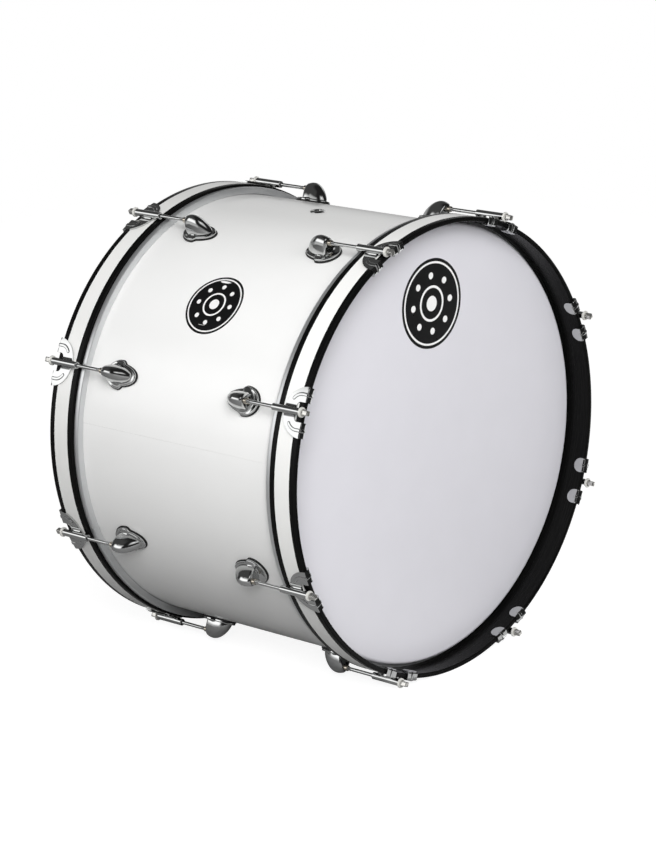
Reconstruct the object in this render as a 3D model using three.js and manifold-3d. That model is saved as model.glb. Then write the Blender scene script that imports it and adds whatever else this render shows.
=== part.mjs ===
// Marching bass drum, 22 inches across and 14 inches deep, at rest with its rods tight.
// Sizes are in millimetres. The drum's axis lies along X, +Z is up and the middle of the shell is the origin.
// One end is modelled once, facing +X, and placed again half a turn about Z for the other end.
import * as THREE from 'three';
import { mergeVertices } from 'three/addons/utils/BufferGeometryUtils.js';
import Module from 'manifold-3d';

// Shell; every ring's facets touch its true radius, so sizes are exact at the claws and at the bottom
const shellDiameter = 558.8;
const shellLength = 355.6;
const plyThickness = 7.5;
const wrapThickness = 0.6;
const wrapSetback = 3.4;
const edgeRoundOver = 2.5;

// Ends: eight claws a head, and four facets of every ring to each claw
const clawsPerHead = 8;
const facetsPerClaw = 4;

// Clearances: pieces that touch keep touchGap, and a rod turns inside a bore with boreGap all round
const touchGap = 0.3;
const boreGap = 0.5;
const cutOverrun = 2;

// Head: a film that bends over the bearing edge and runs down into its flesh hoop
const filmThickness = 0.4;
const collarClearance = 1.9;
const collarBend = 5;
const fleshHoopHeight = 6.3;
const fleshHoopClearance = 0.7;
const fleshHoopSlotDepth = 4.6;
const fleshHoopShelf = 1.6;

// Counterhoop with its white inlay
const hoopThickness = 6.2;
const hoopWidth = 40.5;
const hoopOverhang = 31.6;
const hoopGapToCollar = 4.1;
const hoopChamfer = 1;
const inlayThickness = 0.7;
const inlayWidth = 23.9;
const inlayFromShellSide = 8.4;

// Tension rod, measured from the mouth of its lug
const rodDiameter = 5;
const rodAboveHoop = 6.3;
const rodEngagement = 14;
const lugMouthFromEdge = 52.2;
const rodFacets = 8;
const boreFacets = 6;
const washerDiameter = 12.6;
const washerThickness = 2.6;
const keySquare = 6.35;
const keyLength = 9;

// Claw
const tubeDiameter = 9.2;
const tubeBehindHoop = 1.5;
const tubeBeyondHoop = 1.6;
const clawPlate = 2.2;
const clawCorner = 4.5;
const clawCornerSteps = 2;
const fanRadius = 31;
const fanSteps = 8;
const earWidth = 19;
const earDepth = 12.4;
const earSteps = 4;
const windowDepth = 10.4;
const windowCorner = 6;
const webWidth = 18;
const webSetback = 2;
const ribWidth = 4.3;
const ribRise = 0.8;
const ribStraight = 7;
const ribBend = 15;
const ribBendAngle = 55;
const ribSteps = 2;

// Lug
const lugLength = 50;
const lugToeBeyondMouth = 3.6;
const lobeHalfWidth = 18;
const gasketThickness = 1;
const footThickness = 2.2;
const footStep = 1.8;
const footStepInset = 2.4;
const domeNoseInset = 2;
const domeFaceSetback = 6;
const domeFaceLean = 2.6;
const domeAboveRod = 9;
const domeHalfWidth = 12.6;
const domeSteps = 6;
const nutDiameter = 8.6;
const nutBore = 6;
const rodTipClearance = 2;
const outlineStepsPerCurve = 2;

// Vent through the top of the shell
const ventFlangeDiameter = 20;
const ventFlangeThickness = 1.8;
const ventBarrelDiameter = 13;
const ventBore = 9;
const ventBarrelBelowPly = 4;
const ventFacets = 12;

const wasm = await Module();
wasm.setup();

// Radii and stations along the axis, worked out from the sizes above
const halfTurn = Math.PI;
const facets = facetsPerClaw * clawsPerHead;
const halfShell = shellLength / 2;
const wrapRadius = shellDiameter / 2;
const plyRadius = wrapRadius - wrapThickness - touchGap;
const boreRadius = plyRadius - plyThickness;
const crestRadius = plyRadius - edgeRoundOver;
const collarInner = wrapRadius + collarClearance;
const collarOuter = collarInner + filmThickness;
const hoopInner = collarOuter + hoopGapToCollar;
const hoopOuter = hoopInner + hoopThickness;
const hoopEnd = halfShell + hoopOverhang;
const hoopStart = hoopEnd - hoopWidth;
const fleshTop = hoopStart - touchGap;
const fleshBottom = fleshTop - fleshHoopHeight;
const fleshOuter = hoopInner + fleshHoopShelf;
const fleshInner = wrapRadius + fleshHoopClearance;
const slotBottom = fleshTop - fleshHoopSlotDepth;
const rodRadius = rodDiameter / 2;
const rodLine = hoopOuter + rodAboveHoop;
const lugMouth = halfShell - lugMouthFromEdge;
const rodTip = lugMouth - rodEngagement;
const tubeStart = hoopStart - tubeBehindHoop;
const tubeEnd = hoopEnd + tubeBeyondHoop;
const tubeRadius = tubeDiameter / 2;
const washerStart = tubeEnd + touchGap;
const washerEnd = washerStart + washerThickness;
const keyEnd = washerEnd + keyLength;

const materials = {
  ply: new THREE.MeshStandardMaterial({ color: 0xb88a5a, roughness: 0.6, metalness: 0 }),
  wrap: new THREE.MeshStandardMaterial({ color: 0xf1f1ef, roughness: 0.15, metalness: 0 }),
  film: new THREE.MeshStandardMaterial({ color: 0xd6d6dc, roughness: 0.5, metalness: 0 }),
  aluminium: new THREE.MeshStandardMaterial({ color: 0xc9cacc, roughness: 0.35, metalness: 1 }),
  lacquer: new THREE.MeshStandardMaterial({ color: 0x0c0c0d, roughness: 0.3, metalness: 0 }),
  inlay: new THREE.MeshStandardMaterial({ color: 0xf4f4f2, roughness: 0.2, metalness: 0 }),
  chrome: new THREE.MeshStandardMaterial({ color: 0xd8dadd, roughness: 0.08, metalness: 1 }),
  steel: new THREE.MeshStandardMaterial({ color: 0xcfc9bd, roughness: 0.22, metalness: 1 }),
};

// A closed geometry as a solid, turned right side out, with seams merged and flat triangles dropped
function solidOf(geometry) {
  const bare = geometry.clone();
  bare.deleteAttribute('normal');
  bare.deleteAttribute('uv');
  const merged = mergeVertices(bare);
  const places = merged.attributes.position;
  const corners = [];
  for (let i = 0; i < merged.index.count; i += 3) {
    const [a, b, c] = [0, 1, 2].map((n) => merged.index.getX(i + n));
    if (a !== b && b !== c && c !== a) corners.push([a, b, c]);
  }
  const point = (n) => new THREE.Vector3().fromBufferAttribute(places, n);
  const volume = corners.reduce((sum, [a, b, c]) => sum + point(a).dot(point(b).cross(point(c))), 0);
  const facing = volume < 0 ? corners.map(([a, b, c]) => [a, c, b]) : corners;
  return new wasm.Manifold(new wasm.Mesh({
    numProp: 3,
    vertProperties: new Float32Array(places.array),
    triVerts: new Uint32Array(facing.flat()),
  }));
}

function geometryOf(solid) {
  const mesh = solid.getMesh();
  const geometry = new THREE.BufferGeometry();
  geometry.setAttribute('position', new THREE.BufferAttribute(mesh.vertProperties, 3));
  geometry.setIndex(new THREE.BufferAttribute(mesh.triVerts, 1));
  geometry.computeVertexNormals();
  return geometry;
}

// A profile of [radius, place along X] pairs turned about the X axis, with facets that touch the radius
function turned(profile, count = facets) {
  const step = 2 * halfTurn / count;
  const corner = 1 / Math.cos(step / 2);
  const points = profile.map(([radius, along]) => new THREE.Vector2(radius * corner, along));
  if (profile[0][0] > 0) points.push(points[0].clone());
  return solidOf(new THREE.LatheGeometry(points, count, step / 2).rotateZ(-halfTurn / 2));
}

// An outline in X and Y, made thick from one height to another
function prism(outline, bottom, top) {
  const shape = new THREE.Shape(outline);
  const depth = top - bottom;
  return solidOf(new THREE.ExtrudeGeometry(shape, { depth, bevelEnabled: false }).translate(0, 0, bottom));
}

// A closed skin over rings of as many points each, with both ends closed to their middles
function loft(rings) {
  const count = rings[0].length;
  const middle = (ring) => ring.reduce((sum, p) => sum.add(p), new THREE.Vector3()).divideScalar(count);
  const points = [...rings.flat(), middle(rings[0]), middle(rings.at(-1))];
  const triangles = [];
  for (let side = 0; side < count; side++) {
    const next = (side + 1) % count;
    for (let ring = 0; ring < rings.length - 1; ring++) {
      const [here, above] = [ring * count, (ring + 1) * count];
      triangles.push(here + side, here + next, above + next, here + side, above + next, above + side);
    }
    const last = (rings.length - 1) * count;
    triangles.push(points.length - 2, next, side, points.length - 1, last + side, last + next);
  }
  const geometry = new THREE.BufferGeometry().setFromPoints(points);
  geometry.setIndex(triangles);
  return solidOf(geometry);
}

function arc(centreX, centreY, radius, from, to, steps) {
  return Array.from({ length: steps + 1 }, (_, n) => {
    const angle = from + (to - from) * n / steps;
    return new THREE.Vector2(centreX + radius * Math.cos(angle), centreY + radius * Math.sin(angle));
  });
}

// A full round bar or drill along X, of a radius, from one place to another
function bar(radius, from, to, count) {
  return turned([[0, from], [radius, from], [radius, to], [0, to]], count);
}

// Turns a solid made along +X so that it stands along +Z
function stoodUp(solid) {
  return solid.rotate([0, -90, 0]);
}

function ventHole() {
  return stoodUp(bar(ventBarrelDiameter / 2 + touchGap, 0, wrapRadius + cutOverrun, ventFacets));
}

// Maple shell: its bearing edge is cut at 45 degrees inside and eased outside, up to a sharp crest
function shellSolid() {
  const cutFoot = halfShell - (crestRadius - boreRadius);
  const half = [[boreRadius, cutFoot], [crestRadius, halfShell], [plyRadius, halfShell - edgeRoundOver]];
  const mirrored = half.map(([radius, along]) => [radius, -along]).reverse();
  return turned([...half, ...mirrored]).subtract(ventHole());
}

// White wrap glued round the shell, short of its bearing edges
function wrapSolid() {
  const end = halfShell - wrapSetback;
  const inner = wrapRadius - wrapThickness;
  return turned([[inner, -end], [inner, end], [wrapRadius, end], [wrapRadius, -end]]).subtract(ventHole());
}

// Vent grommet: a flanged tube through the top of the shell
function ventSolid() {
  const flangeBottom = wrapRadius + touchGap;
  const flangeTop = flangeBottom + ventFlangeThickness;
  const barrelBottom = boreRadius - ventBarrelBelowPly;
  return stoodUp(turned([
    [ventBore / 2, barrelBottom],
    [ventBarrelDiameter / 2, barrelBottom],
    [ventBarrelDiameter / 2, flangeBottom],
    [ventFlangeDiameter / 2, flangeBottom],
    [ventFlangeDiameter / 2 - ventFlangeThickness, flangeTop],
    [ventBore / 2, flangeTop],
  ], ventFacets));
}

// Film: flat over the crest, bent down outside the shell and run into the slot of its flesh hoop
function filmSolid() {
  const under = halfShell + touchGap;
  const bendRadius = collarInner - collarBend;
  const bendPlace = under - collarBend;
  const skirtEnd = slotBottom + touchGap;
  return turned([
    [0, under],
    [bendRadius, under],
    [collarInner, bendPlace],
    [collarInner, skirtEnd],
    [collarOuter, skirtEnd],
    [collarOuter, bendPlace],
    [bendRadius, under + filmThickness],
    [0, under + filmThickness],
  ]);
}

// Flesh hoop: a channel, open towards the head, that holds the film's skirt
function fleshHoopSolid() {
  return turned([
    [fleshInner, fleshBottom],
    [fleshInner, fleshTop],
    [collarInner - touchGap, fleshTop],
    [collarInner - touchGap, slotBottom],
    [collarOuter + touchGap, slotBottom],
    [collarOuter + touchGap, fleshTop],
    [fleshOuter, fleshTop],
    [fleshOuter, fleshBottom],
  ]);
}

const grooveStart = hoopStart + inlayFromShellSide;
const grooveEnd = grooveStart + inlayWidth;
const grooveFloor = hoopOuter - inlayThickness - touchGap;

// Counterhoop: a ply ring with eased corners and a shallow groove for the inlay
function hoopSolid() {
  return turned([
    [hoopInner, hoopStart],
    [hoopInner, hoopEnd],
    [hoopOuter - hoopChamfer, hoopEnd],
    [hoopOuter, hoopEnd - hoopChamfer],
    [hoopOuter, grooveEnd],
    [grooveFloor, grooveEnd],
    [grooveFloor, grooveStart],
    [hoopOuter, grooveStart],
    [hoopOuter, hoopStart],
  ]);
}

function inlaySolid() {
  const inner = hoopOuter - inlayThickness;
  const [start, end] = [grooveStart + touchGap, grooveEnd - touchGap];
  return turned([[inner, start], [inner, end], [hoopOuter, end], [hoopOuter, start]]);
}

// Pieces round a rod are modelled at the top of the drum, with the rod's line along X
function rodBar(radius, from, to, count = rodFacets) {
  return bar(radius, from, to, count).translate([0, 0, rodLine]);
}

// Tension rod: shank, washer and square key head
function rodSolid() {
  const shank = rodBar(rodRadius, rodTip, washerEnd);
  const washer = rodBar(washerDiameter / 2, washerStart, washerEnd);
  const key = new THREE.BoxGeometry(keyEnd - washerStart, keySquare, keySquare);
  return shank.add(washer).add(solidOf(key.translate((keyEnd + washerStart) / 2, 0, rodLine)));
}

const clawEnd = hoopEnd + touchGap + clawPlate;
const clawCut = clawEnd + cutOverrun;
const clawTop = hoopOuter + touchGap + clawPlate;
const windowFoot = hoopEnd - windowDepth;
const tabLine = fanRadius - earWidth / 2;
const outerReach = clawEnd - fanRadius - cutOverrun;

// Outline of the claw's plate over the hoop: a half disc, open between its two ears beside the tube
function fanOutline() {
  const rim = arc(clawEnd, 0, fanRadius, halfTurn / 2, 3 * halfTurn / 2, fanSteps);
  const innerSide = fanRadius - earWidth;
  const half = [
    new THREE.Vector2(clawCut, fanRadius),
    new THREE.Vector2(clawCut, innerSide),
    new THREE.Vector2(windowFoot + windowCorner, innerSide),
    new THREE.Vector2(windowFoot, innerSide - windowCorner),
  ];
  const mirrored = half.map((p) => new THREE.Vector2(p.x, -p.y));
  return [...rim, ...mirrored, ...half.reverse()];
}

// One ear: a tongue over the hoop's end and down its inside, with a round tip
function earOutline(side) {
  const radius = earWidth / 2;
  const middle = side * tabLine;
  const tip = hoopEnd - earDepth + radius;
  const round = arc(tip, middle, radius, halfTurn / 2, 3 * halfTurn / 2, earSteps);
  return [new THREE.Vector2(clawCut, middle + radius), ...round, new THREE.Vector2(clawCut, middle - radius)];
}

// One rib: straight along the middle of its ear, then bent towards the tube on the fan
function ribOutline(side) {
  const centre = [clawEnd - ribStraight, tabLine - ribBend];
  const [from, to] = [halfTurn / 2, halfTurn / 2 + halfTurn * ribBendAngle / 180];
  const half = ribWidth / 2;
  return [
    new THREE.Vector2(clawCut, tabLine + half),
    ...arc(...centre, ribBend + half, from, to, ribSteps),
    ...arc(...centre, ribBend - half, to, from, ribSteps),
    new THREE.Vector2(clawCut, tabLine - half),
  ].map((p) => new THREE.Vector2(p.x, side * p.y));
}

// The claw's section: over the hoop, across its end and down its inside, where the corner is round
function clawChannel() {
  const [over, under, wall] = [hoopOuter + touchGap, hoopInner - touchGap, hoopEnd + touchGap];
  const bottom = under - clawPlate;
  const innerReach = wall - earDepth - cutOverrun;
  const [cornerRadius, cornerPlace] = [bottom + clawCorner, clawEnd - clawCorner];
  const corner = arc(cornerRadius, cornerPlace, clawCorner, halfTurn, halfTurn / 2, clawCornerSteps);
  return turned([
    [over, outerReach], [over, wall], [under, wall], [under, innerReach], [bottom, innerReach],
    ...corner.map((p) => [p.x, p.y]), [clawTop, clawEnd], [clawTop, outerReach],
  ]);
}

// The ribs' section: along the fan and down the claw's end as far as the round corner
function ribSection() {
  const root = clawPlate / 2;
  const foot = hoopInner - touchGap - clawPlate + clawCorner;
  return turned([
    [clawTop - root, outerReach], [clawTop - root, clawEnd - root], [foot, clawEnd - root],
    [foot, clawEnd + ribRise], [clawTop + ribRise, clawEnd + ribRise], [clawTop + ribRise, outerReach],
  ]);
}

// Web: flares from the middle of the tube down to the plate on both sides
function webSolid() {
  const rise = rodLine - clawTop;
  const flare = webWidth / 2 - tubeRadius;
  const half = [[webWidth / 2, clawTop - clawPlate / 2], [webWidth / 2, clawTop],
    [tubeRadius + flare / 4, clawTop + rise / 3], [tubeRadius, rodLine]];
  const mirrored = half.map(([across, height]) => [-across, height]).reverse();
  const outline = [...half, ...mirrored].map(([across, height]) => new THREE.Vector2(across, height));
  const start = clawEnd - fanRadius + webSetback;
  const depth = windowFoot - start;
  const body = new THREE.ExtrudeGeometry(new THREE.Shape(outline), { depth, bevelEnabled: false });
  return solidOf(body.rotateX(halfTurn / 2).rotateZ(halfTurn / 2).translate(start, 0, 0));
}

// Claw: a channel over the hoop, cut to the fan outside and to two ears inside, with ribs and the rod's tube
function clawSolid() {
  const channel = clawChannel();
  const ribs = ribSection();
  const split = hoopInner + hoopThickness / 2;
  const ceiling = clawTop + cutOverrun;
  const floor = hoopInner - clawCorner - fanRadius * fanRadius / hoopInner;
  const fan = channel.intersect(prism(fanOutline(), split, ceiling));
  const ear = (side) => channel.intersect(prism(earOutline(side), floor, split));
  const rib = (side) => ribs.intersect(prism(ribOutline(side), floor, ceiling));
  const tube = rodBar(tubeRadius, tubeStart, tubeEnd);
  const drill = rodBar(rodRadius + boreGap, tubeStart - cutOverrun, tubeEnd + cutOverrun, boreFacets);
  const hook = fan.add(ear(1)).add(ear(-1)).add(rib(1)).add(rib(-1));
  return hook.add(webSolid()).add(tube).subtract(drill);
}

// Outline of the lug's foot: a round nose towards the drum's middle, a waist, two lobes and a round toe.
// Its shares run from the nose to the toe and from the middle line to the lobes' full width.
const footCurveShares = [
  [[0, 0], [0, 0.45], [0.22, 0.66], [0.41, 0.76]],
  [[0.41, 0.76], [0.47, 0.8], [0.47, 1], [0.56, 1]],
  [[0.56, 1], [0.82, 1], [1, 0.5], [1, 0]],
];

function footOutline(grow) {
  const nose = lugMouth + lugToeBeyondMouth - lugLength - grow;
  const length = lugLength + 2 * grow;
  const half = footCurveShares.flatMap((shares) => {
    const places = shares.map(([along, across]) => new THREE.Vector2(
      nose + along * length, across * (lobeHalfWidth + grow)));
    return new THREE.CubicBezierCurve(...places).getPoints(outlineStepsPerCurve).slice(0, -1);
  });
  const toe = new THREE.Vector2(nose + length, 0);
  const mirrored = half.slice(1).map((p) => new THREE.Vector2(p.x, -p.y)).reverse();
  return [...half, toe, ...mirrored];
}

// Dome sections from the nose to the face: share of the length, of the half width and of the height
const domeShares = [
  [0, 0.26, 0.08],
  [0.15, 0.62, 0.46],
  [0.4, 0.9, 0.84],
  [0.72, 1, 1],
  [1, 0.9, 0.95],
];

// Lug: a foot with its gasket under it, a helmet dome, and the mouth of the swivel nut on the dome's face
function lugSolid() {
  const seat = wrapRadius + touchGap;
  const footTop = seat + gasketThickness + footThickness;
  const ring = (grow, height) => footOutline(grow).map((p) => new THREE.Vector3(p.x, p.y, height));
  const foot = loft([ring(0, seat), ring(0, footTop), ring(-footStepInset, footTop + footStep)]);
  const nose = lugMouth + lugToeBeyondMouth - lugLength + domeNoseInset;
  const face = lugMouth - domeFaceSetback;
  const height = rodLine + domeAboveRod - footTop;
  const dome = loft(domeShares.map(([along, across, up]) => {
    const arch = Array.from({ length: domeSteps + 1 }, (_, n) => {
      const angle = halfTurn * n / domeSteps;
      const rise = Math.sin(angle);
      const lean = along * domeFaceLean * rise;
      return new THREE.Vector3(
        nose + along * (face - nose) - domeFaceLean + lean,
        across * domeHalfWidth * Math.cos(angle),
        footTop + up * height * rise);
    });
    const base = [arch.at(-1), arch[0]].map((p) => new THREE.Vector3(p.x, p.y, footTop - footThickness / 2));
    return [...arch, ...base];
  }));
  const boreEnd = rodTip - rodTipClearance;
  const nut = rodBar(nutDiameter / 2, boreEnd, lugMouth);
  return foot.add(dome).add(nut).subtract(rodBar(nutBore / 2, boreEnd, lugMouth + cutOverrun, boreFacets));
}

function named(name, solid, material) {
  const mesh = new THREE.Mesh(geometryOf(solid), material);
  mesh.name = name;
  return mesh;
}

// The pieces of one end, with the eight stations of lug, claw and rod half a step off the level line
function drumEnd(name, solids) {
  const group = new THREE.Group();
  group.add(named(`${name}_head_film`, solids.film, materials.film));
  group.add(named(`${name}_flesh_hoop`, solids.fleshHoop, materials.aluminium));
  group.add(named(`${name}_hoop`, solids.hoop, materials.lacquer));
  group.add(named(`${name}_hoop_inlay`, solids.inlay, materials.inlay));
  for (let n = 1; n <= clawsPerHead; n++) {
    const station = new THREE.Group();
    station.add(named(`${name}_lug_${n}`, solids.lug, materials.chrome));
    station.add(named(`${name}_claw_${n}`, solids.claw, materials.chrome));
    station.add(named(`${name}_rod_${n}`, solids.rod, materials.steel));
    station.rotation.x = 2 * halfTurn * (n - 1 / 2) / clawsPerHead - halfTurn / 2;
    group.add(station);
  }
  return group;
}

const endSolids = {
  film: filmSolid(),
  fleshHoop: fleshHoopSolid(),
  hoop: hoopSolid(),
  inlay: inlaySolid(),
  lug: lugSolid(),
  claw: clawSolid(),
  rod: rodSolid(),
};

const drum = new THREE.Group();
drum.add(named('shell', shellSolid(), materials.ply));
drum.add(named('shell_wrap', wrapSolid(), materials.wrap));
drum.add(named('vent_grommet', ventSolid(), materials.chrome));
const front = drumEnd('front', endSolids);
const back = drumEnd('back', endSolids);
back.rotation.z = halfTurn;
drum.add(front, back);

export default drum;
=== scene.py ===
# Marching bass drum, 22 by 14 inches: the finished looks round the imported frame
import math

import bmesh
import bpy
from mathutils import Matrix, Vector
from mathutils.geometry import interpolate_bezier


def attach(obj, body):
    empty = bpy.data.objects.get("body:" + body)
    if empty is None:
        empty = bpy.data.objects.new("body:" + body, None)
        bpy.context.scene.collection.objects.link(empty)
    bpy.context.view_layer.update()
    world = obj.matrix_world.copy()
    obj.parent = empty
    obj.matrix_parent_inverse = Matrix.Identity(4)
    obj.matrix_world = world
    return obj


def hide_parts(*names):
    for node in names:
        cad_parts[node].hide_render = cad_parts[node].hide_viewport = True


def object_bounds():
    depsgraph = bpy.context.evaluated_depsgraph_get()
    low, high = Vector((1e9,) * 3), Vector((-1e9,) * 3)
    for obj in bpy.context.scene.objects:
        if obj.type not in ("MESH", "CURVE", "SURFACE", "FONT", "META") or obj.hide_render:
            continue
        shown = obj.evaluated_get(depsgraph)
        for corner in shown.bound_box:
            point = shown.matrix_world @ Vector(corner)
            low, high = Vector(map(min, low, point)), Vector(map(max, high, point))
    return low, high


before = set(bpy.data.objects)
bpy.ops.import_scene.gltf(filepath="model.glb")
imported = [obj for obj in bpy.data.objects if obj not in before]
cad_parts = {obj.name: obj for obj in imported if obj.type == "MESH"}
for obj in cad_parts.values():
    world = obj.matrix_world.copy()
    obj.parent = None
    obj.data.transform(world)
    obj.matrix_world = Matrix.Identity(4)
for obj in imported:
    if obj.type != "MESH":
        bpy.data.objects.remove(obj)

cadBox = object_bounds()
mm = 0.001               # pieces are drawn in millimetres and brought to metres at the end
ends = {"front": 0.0, "back": math.pi}       # turn about Z that brings an end to its place
stations = range(1, 9)


# Camera
cameraView = {
    "azimuth": 42.27,    # degrees, 0 looks along +Y
    "elevation": 16.09,
    "roll": -2.244,
    "distance": 3.951,   # metres from the middle of the shell
    "lens": 129.31,
    "sensor": 36.0,
    "aimRight": 0.0024,  # metres from the middle of the shell to the middle of the picture
    "aimUp": -0.0027,
}


def placeCamera():
    azimuth, elevation, roll = (math.radians(cameraView[key])
                                for key in ("azimuth", "elevation", "roll"))
    back = Vector((math.sin(azimuth) * math.cos(elevation),
                   -math.cos(azimuth) * math.cos(elevation),
                   math.sin(elevation)))
    level = Vector((0, 0, 1)).cross(back).normalized()
    place = back * cameraView["distance"]
    aim = level * cameraView["aimRight"] + back.cross(level) * cameraView["aimUp"]
    back = (place - aim).normalized()
    level = Vector((0, 0, 1)).cross(back).normalized()
    upright = back.cross(level)
    right = level * math.cos(roll) + upright * math.sin(roll)
    up = upright * math.cos(roll) - level * math.sin(roll)
    data = bpy.data.cameras.new("drumCamera")
    data.lens = cameraView["lens"]
    data.sensor_width = cameraView["sensor"]
    camera = bpy.data.objects.new("drumCamera", data)
    bpy.context.scene.collection.objects.link(camera)
    camera.matrix_world = Matrix.Translation(place) @ Matrix((
        (right.x, up.x, back.x, 0),
        (right.y, up.y, back.y, 0),
        (right.z, up.z, back.z, 0),
        (0, 0, 0, 1),
    ))
    bpy.context.scene.camera = camera
    print("camera placed")


placeCamera()


# Materials
def hexColour(code):
    channels = [int(code[n:n + 2], 16) / 255 for n in (1, 3, 5)]
    linear = [c / 12.92 if c <= 0.04045 else ((c + 0.055) / 1.055) ** 2.4 for c in channels]
    return (*linear, 1)


def addNode(tree, kind, settings, links):
    made = tree.nodes.new(kind)
    for key, value in settings.items():
        if isinstance(key, str) and hasattr(made, key):
            setattr(made, key, value)
        else:
            made.inputs[key].default_value = value
    for key, socket in links.items():
        tree.links.new(socket, made.inputs[key])
    return made


# The place along the drum beside the length round it, at a radius in millimetres
def roundPlace(tree, place, radius):
    split = addNode(tree, "ShaderNodeSeparateXYZ", {}, {0: place})
    angle = addNode(tree, "ShaderNodeMath", {"operation": "ARCTAN2"},
                    {0: split.outputs["Y"], 1: split.outputs["Z"]})
    around = addNode(tree, "ShaderNodeMath", {"operation": "MULTIPLY", 1: radius * mm},
                     {0: angle.outputs[0]})
    return addNode(tree, "ShaderNodeCombineXYZ", {},
                   {"X": split.outputs["X"], "Y": around.outputs[0]}).outputs[0]


# What each finish has where its own entry below says nothing else
commonLook = {
    "slot": None,            # the record's slot that the finish stands for
    "shader": {"IOR": 1.5},
    "around": None,          # radius in millimetres, where the pattern runs round the drum
    "detail": 2.0,
    "stretch": (1, 1, 1),
    "bump": None,            # depth in millimetres
    "wave": None,            # size in millimetres and detail of a bump that isn't the colour's noise
}

# Each finish with the two colours that its noise mixes, the noise's size in millimetres, and the
# range of its roughness
finishLooks = {
    # Calendered white vinyl wrap, glued to ply: hard gloss, with a slow waviness from the wood below
    "glossWrap": {"slot": "white_wrap", "colours": ("#F3F3F2", "#F6F6F5"), "grain": 60,
                  "rough": (0.14, 0.2), "wave": (35, 1.0), "bump": 0.12},
    # Extruded white polyester film, stretched tight: a soft sheen with the faintest cloudiness
    "drumFilm": {"slot": "head_film", "shader": {"IOR": 1.57}, "colours": ("#DAD9DF", "#DEDDE3"),
                 "grain": 45, "detail": 3.0, "rough": (0.38, 0.46), "wave": (1.6, 2.0), "bump": 0.01},
    # Bent maple ply, sprayed black: satin gloss, with the grain just showing along the hoop
    "blackLacquer": {"slot": "black_lacquer", "shader": {"IOR": 1.5, "Specular IOR Level": 0.09},
                     "colours": ("#060607", "#121211"), "grain": 1.6, "detail": 3.0, "around": 292,
                     "stretch": (1, 0.03, 1), "rough": (0.2, 0.34), "bump": 0.03},
    # Extruded white celluloid strip let into the hoop: gloss, with faint pearly drifts along it
    "whiteInlay": {"slot": "white_inlay", "colours": ("#F1F1EF", "#F5F5F3"), "grain": 14,
                   "around": 292, "stretch": (1, 0.2, 1), "rough": (0.14, 0.2)},
    # Die-cast zinc, buffed and chrome plated: a clear mirror with fine polishing haze
    "polishedChrome": {"slot": "chrome", "shader": {"Metallic": 1.0}, "colours": ("#C3C4C4", "#CBCCCB"),
                       "grain": 9, "detail": 3.0, "rough": (0.045, 0.085), "bump": 0.02},
    # Cold-headed steel under bright nickel: a shade warmer and less clear than the chrome
    "nickelSteel": {"slot": "steel", "shader": {"Metallic": 0.88}, "colours": ("#C8C7C3", "#D6D5D1"),
                    "grain": 3, "detail": 3.0, "rough": (0.18, 0.28)},
    # Stamped steel washer, zinc plated in a barrel: pale, nearly matt, with a cloudy bloom
    "zincSteel": {"slot": "steel", "shader": {"Metallic": 0.35}, "colours": ("#DEDDD8", "#EFEEEA"),
                  "grain": 2.5, "detail": 3.0, "rough": (0.3, 0.44), "bump": 0.02},
    # Turned brass swivel nut under a thin flash of nickel: the warm metal just shows through
    "turnedBrass": {"shader": {"Metallic": 1.0}, "colours": ("#BDB4A6", "#D3CCC0"), "grain": 2,
                    "rough": (0.16, 0.28)},
    # Drawn aluminium channel rolled to a ring, anodised satin, with fine lines that run round it
    "satinAluminium": {"slot": "aluminium", "shader": {"Metallic": 0.75},
                       "colours": ("#CACCCD", "#DBDCDD"), "grain": 0.8, "around": 285,
                       "stretch": (1, 0.01, 1), "rough": (0.24, 0.38), "bump": 0.01},
    # Moulded black rubber gasket: matt, with a fine grain
    "blackRubber": {"colours": ("#0C0C0C", "#181818"), "grain": 0.7, "rough": (0.5, 0.65),
                    "bump": 0.03},
    # Maple ply under a thin clear seal: long grain round the shell, with darker lines of latewood
    "mapleShell": {"slot": "shell_ply", "colours": ("#A87B4C", "#CFA877"), "grain": 5, "detail": 6.0,
                   "around": 275, "stretch": (1, 0.05, 1), "rough": (0.4, 0.55), "bump": 0.05},
    # Screen-printed ink on a vinyl sticker: even colour, a little softer than the gloss round it
    "blackInk": {"colours": ("#0A0A0B", "#101011"), "grain": 4, "rough": (0.25, 0.34)},
    "whiteInk": {"colours": ("#EFEFEE", "#F5F5F4"), "grain": 4, "rough": (0.25, 0.34)},
}


def newMaterial(name):
    material = bpy.data.materials.new(name)
    material.use_nodes = True
    tree = material.node_tree
    tree.nodes.clear()
    place = addNode(tree, "ShaderNodeTexCoord", {}, {}).outputs["Object"]
    return material, tree, place


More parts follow.
